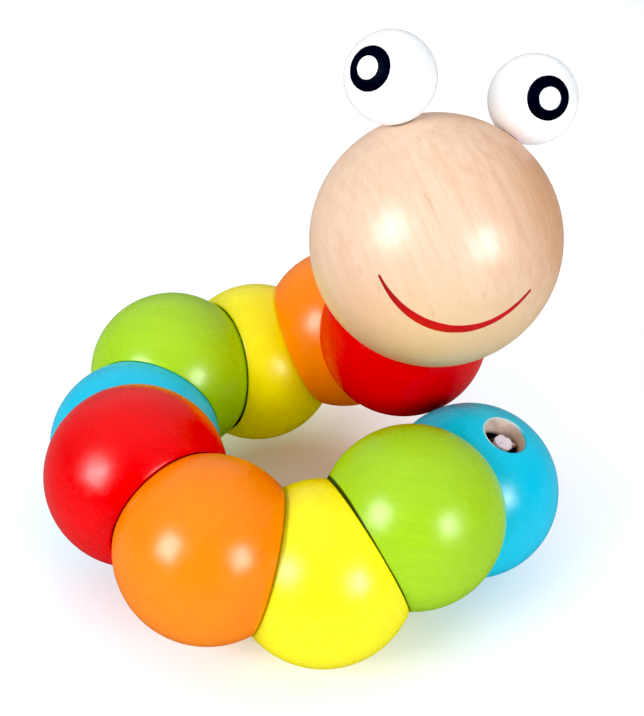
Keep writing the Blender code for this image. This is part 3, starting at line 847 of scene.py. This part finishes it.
FILM = 0.000045
EYES = (
    ("left", -1.0, (-0.7911, -0.5946, 0.1435), (-0.7971, -0.5863, 0.1447), 1.0),
    ("right", 1.0, (-0.1305, -0.985, 0.1132), (-0.1196, -0.9876, 0.1016), 2.0),
)
for label, sign, ring_way, white_way, seed in EYES:
    lean = rad(EYE_SPREAD) * sign
    axis = Vector((math.sin(lean), 0.0, math.cos(lean)))
    hole_r = PEG_R + PEG_GAP
    ball = arc(EYE_R, 0.0, 0.0, math.pi - math.asin((hole_r + 0.0002) / EYE_R), 72)
    ball[0] = (0.0, EYE_R, 0)
    hole_top = -EYE_R + PEG_IN
    profile = ball + [(hole_r, ball[-1][1] + 0.0002, 1), (hole_r, hole_top, 1), (0.0, hole_top + 0.0006, 1)]
    eye = lathe(f"{label}_eye_ball", profile, [EYE_WHITE, BORE_WOOD], 112)
    to_eye = axis.to_track_quat("Z", "Y").to_matrix().to_4x4()
    settle(eye, HEAD @ Matrix.Translation(axis * EYE_REACH) @ to_eye, "head", "eye_white", f"{label}_eye")

    # the pupil: a black ring printed on the ball, its white middle a little off centre
    mid = Vector(ring_way).normalized()
    x = Vector((0, 0, 1)).cross(mid).normalized()
    y = mid.cross(x)
    off = Vector(white_way).normalized()
    dx, dy = math.degrees(math.asin(off.dot(x))), math.degrees(math.asin(off.dot(y)))
    rows = []
    for i in range(144):
        a = 2 * math.pi * i / 144
        c, s = math.cos(a), math.sin(a)
        wob = 0.35 * noise.noise(Vector((c * 2.2, s * 2.2, seed))) + 0.18 * noise.noise(Vector((c * 6, s * 6, seed + 3)))
        wob_in = 0.35 * noise.noise(Vector((c * 2.0, s * 2.0, seed + 7))) + 0.2 * noise.noise(Vector((c * 5, s * 5, seed + 9)))
        outer = 28.6 + wob
        across = dx * s - dy * c
        inner = dx * c + dy * s + math.sqrt(14.2**2 - across**2) + wob_in
        row = []
        for q in range(13):
            t = q / 12
            ang = rad(inner + (outer - inner) * t)
            way_q = mid * math.cos(ang) + (x * c + y * s) * math.sin(ang)
            h = FILM * max(0.0, 1 - (2 * t - 1) ** 6)
            row.append((on_ball(way_q, EYE_R, h + 0.000004), on_ball(way_q, EYE_R, -0.00006)))
        rows.append(row)
    pupil = film(f"{label}_pupil_ring", rows, PUPIL)
    settle(pupil, HEAD @ Matrix.Translation(axis * EYE_REACH), "head", "eye_white")

# the smile: one brush stroke, thick in the middle and drawn out to fine ends
SMILE = (
    (-0.7168, -0.6710, -0.1896), (-0.6632, -0.6997, -0.2657), (-0.5997, -0.7266, -0.3353), (-0.5258, -0.7526, -0.3964), (-0.4423, -0.7780, -0.4463),
    (-0.3506, -0.8025, -0.4827), (-0.2532, -0.8260, -0.5036), (-0.1531, -0.8477, -0.5079), (-0.0536, -0.8672, -0.4951), (0.0422, -0.8837, -0.4661),
    (0.1318, -0.8968, -0.4224), (0.2135, -0.9057, -0.3663), (0.2870, -0.9096, -0.3004), (0.3534, -0.9074, -0.2274), (0.4154, -0.8974, -0.1490),
)
WIDTHS = (2.4, 3.9, 5.6, 7.4, 8.9, 9.8, 10.1, 9.8, 9.1, 8.1, 7.0, 6.0, 5.2, 4.4, 3.2)
line, _ = smooth_path([Vector(p).normalized() for p in SMILE], 120)
width = np.interp(np.linspace(0, 1, 120), np.linspace(0, 1, len(WIDTHS)), WIDTHS) / 6.44e3
width = np.convolve(np.r_[[width[0]] * 6, width, [width[-1]] * 6], np.ones(13) / 13, "valid")
rows = []
for i in range(120):
    p = Vector(line[i]).normalized()
    t = Vector(line[min(i + 1, 119)]) - Vector(line[max(i - 1, 0)])
    across = p.cross(t).normalized()
    half = width[i] / 2 / HEAD_R
    wob = 0.05 * noise.noise(Vector((i * 0.09, 0.0, 4.0)))
    row = []
    for q in range(11):
        s = -1 + 2 * q / 10
        d = p + across * half * (s * (1 + wob) + 0.02 * noise.noise(Vector((i * 0.21, s * 2.0, 1.0))))
        h = FILM * max(0.0, 1 - abs(s) ** 5)
        row.append((on_ball(d, HEAD_R, h + 0.000006), on_ball(d, HEAD_R, -0.00008)))
    rows.append(row)
smile = film("smile_stroke", rows, LIP)
settle(smile, HEAD, "head", "bare_wood")

# the cord's end in the head, and what holds it there
first_z = -(NECK - BEAD_R - CORD_GAP / 2 - CAD_CUP_GAP / 2)
last_z = HEAD_BORE_END - 0.0009
lean_by = HEAD_BORE_R - CORD_R - PEG_GAP
path = []
for i in range(11):
    t = i / 10
    s = min(max((t - 0.12) / 0.45, 0.0), 1.0)
    path.append((-lean_by * s * s * (3 - 2 * s), 0.0, first_z + 0.00025 + (last_z - first_z - 0.0005) * t))
head_cord = braided("head_cord_braid", path, CORD_R * 0.985)
head_cord.data.transform(neck_frame)
settle(head_cord, HEAD, "head", "elastic_cord", "head_cord")

for name in ("left_eye_peg", "right_eye_peg", "head_cord_wedge"):
    node = frame["nodes"][name]
    node.data.materials.clear()
    node.data.materials.append(DOWEL)

# =====================================================================================
# Floor, light and camera
# =====================================================================================
floor_mesh = bpy.data.meshes.new("floor")
floor_mesh.from_pydata([(-40, -40, 0), (40, -40, 0), (40, 40, 0), (-40, 40, 0)], [], [(0, 1, 2, 3)])
floor = bpy.data.objects.new("floor", floor_mesh)
bpy.context.scene.collection.objects.link(floor)
mat, tree, shader = principled("pale_floor")
place = add(tree, "ShaderNodeTexCoord")
fleck = add(tree, "ShaderNodeTexNoise", {"Scale": 40.0, "Detail": 3.0})
wire(tree, place, "Object", fleck, "Vector")
tone = ramp(tree, fleck, "Fac", [(0.3, (0.70, 0.66, 0.60)), (0.7, (0.73, 0.69, 0.63))])
shader.inputs["Roughness"].default_value = 0.75
shader.inputs["Specular IOR Level"].default_value = 0.15
far = add(tree, "ShaderNodeVectorMath", operation="LENGTH")
wire(tree, place, "Object", far, 0)
outside = spread(tree, far, "Value", 0.0, 1.0, 0.030, 0.075, True)      # a light table, paler under the toy; its glow below carries the painted shadow and the painted pool of light
paper = mixed(tree, outside, 0, (tone, "Color"), (0.42, 0.42, 0.425))
wire(tree, paper, 2, shader, "Base Color")
# painted shadow: the table's glow is dark and warm under the toy and bluish further out
painted_shadow_glow = ramp(tree, spread(tree, far, "Value", 0.0, 1.0, 0.0, 0.1), 0, [
    (0.19, (0.175, 0.130, 0.105)), (0.25, (0.245, 0.265, 0.260)), (0.32, (0.260, 0.300, 0.350)), (0.41, (0.325, 0.385, 0.465)),
    (0.50, (0.440, 0.520, 0.580)), (0.66, (0.600, 0.640, 0.660)), (0.85, (0.620, 0.645, 0.660))])
# painted pool of light: the glow dims away from a spot behind the toy
pool = add(tree, "ShaderNodeVectorMath", {1: (0.0, 0.09, 0.0)}, operation="DISTANCE")
wire(tree, place, "Object", pool, 0)
painted_light_pool = spread(tree, pool, "Value", 1.0, 0.34, 0.155, 0.25, True)
wire(tree, painted_shadow_glow, "Color", shader, "Emission Color")
wire(tree, painted_light_pool, 0, shader, "Emission Strength")
floor_mesh.materials.append(mat)
floor.visible_glossy = False

# what the lacquer mirrors in place of the white table: a dimmer one, dark inside the coil
mirrored_mesh = bpy.data.meshes.new("mirrored_floor")
mirrored_mesh.from_pydata([(-40, -40, 0), (40, -40, 0), (40, 40, 0), (-40, 40, 0)], [], [(0, 1, 2, 3)])
mirrored = bpy.data.objects.new("mirrored_floor", mirrored_mesh)
bpy.context.scene.collection.objects.link(mirrored)
mat, tree, shader = principled("mirrored_floor")
place = add(tree, "ShaderNodeTexCoord")
far = add(tree, "ShaderNodeVectorMath", operation="LENGTH")
wire(tree, place, "Object", far, 0)
dim = ramp(tree, spread(tree, far, "Value", 0.0, 1.0, 0.0, 0.1), 0, [(0.30, 0.01), (0.42, 0.13), (0.60, 0.27)])
shader.inputs["Base Color"].default_value = (0.0, 0.0, 0.0, 1)
shader.inputs["Roughness"].default_value = 1.0
shader.inputs["Specular IOR Level"].default_value = 0.0
wire(tree, dim, "Color", shader, "Emission Color")
shader.inputs["Emission Strength"].default_value = 1.0
mirrored_mesh.materials.append(mat)
mirrored.visible_camera = False
mirrored.visible_diffuse = False
mirrored.visible_transmission = False
mirrored.visible_shadow = False

scene = bpy.context.scene
scene.view_settings.view_transform = "Standard"
scene.view_settings.look = "None"
scene.view_settings.exposure = 0.10
scene.view_settings.use_curve_mapping = True
scene.view_settings.curve_mapping.black_level = (0.016, 0.016, 0.016)
scene.view_settings.curve_mapping.update()
world = bpy.data.worlds.new("studio")
scene.world = world
world.use_nodes = True
sky = world.node_tree
aim = add(sky, "ShaderNodeTexCoord")
height = add(sky, "ShaderNodeVectorMath", {1: (0.0, 0.5, 0.866)}, operation="DOT_PRODUCT")     # a bright ceiling, above and behind
wire(sky, aim, "Generated", height, 0)
shade = ramp(sky, spread(sky, height, "Value", 0.0, 1.0, -1.0, 1.0), 0, [(0.0, 0.05), (0.50, 0.10), (0.60, 0.15), (0.75, 0.36), (0.90, 0.66), (1.0, 0.74)])
wire(sky, shade, "Color", sky.nodes["Background"], 0)
sky.nodes["Background"].inputs[1].default_value = 1.15


def softbox(name, azimuth, elevation, distance, width, height, power, colour=(1, 1, 1), target=(0.0, -0.005, 0.025)):
    """A square light that looks at the toy. Azimuth 0 is the camera's side, to the right is positive."""
    a, e = rad(azimuth), rad(elevation)
    way_out = Vector((math.sin(a) * math.cos(e), -math.cos(a) * math.cos(e), math.sin(e)))
    data = bpy.data.lights.new(name, "AREA")
    data.shape = "RECTANGLE"
    data.size, data.size_y = width, height
    data.energy = power
    data.color = colour
    obj = bpy.data.objects.new(name, data)
    scene.collection.objects.link(obj)
    obj.location = Vector(target) + way_out * distance
    obj.rotation_euler = way_out.to_track_quat("Z", "Y").to_euler()
    return obj


softbox("softbox_left", -52, 31, 0.95, 0.43, 0.48, 6.2)
softbox("softbox_right", 46, 22, 0.95, 0.37, 0.41, 4.6)
for hot in (softbox("hot_middle_left", -52, 31, 0.94, 0.32, 0.36, 3.7), softbox("hot_middle_right", 46, 22, 0.94, 0.28, 0.31, 2.8)):
    hot.visible_diffuse = False      # the lamps behind the softboxes' cloth, which only the lacquer mirrors

# a white card held under the face, which lights only the eyes
card = softbox("card_under_eyes", -10, -55, 0.50, 0.40, 0.40, 1.15, (0.62, 0.76, 1.0), (0.02, 0.0, 0.075))
card.visible_glossy = False
lit = bpy.data.collections.new("lit_by_the_card")
for label in ("left", "right"):
    lit.objects.link(bpy.data.objects[f"{label}_eye_ball"])
card.light_linking.receiver_collection = lit
card.light_linking.blocker_collection = lit

cam_data = bpy.data.cameras.new("camera")
cam_data.lens = 66.836
cam_data.sensor_width = 36.0
cam_data.clip_start, cam_data.clip_end = 0.01, 50.0
cam = bpy.data.objects.new("camera", cam_data)
scene.collection.objects.link(cam)
right = Vector((0.99978425, 0.01247837, 0.01660551))
below = Vector((0.02076927, -0.58899754, -0.80786789))
ahead = Vector((-0.00030027, 0.80803848, -0.58912964))
cam.matrix_world = Matrix.Translation((0.00324623, -0.16711295, 0.15599276)) @ basis(right, -below, -ahead).to_4x4()
scene.camera = cam
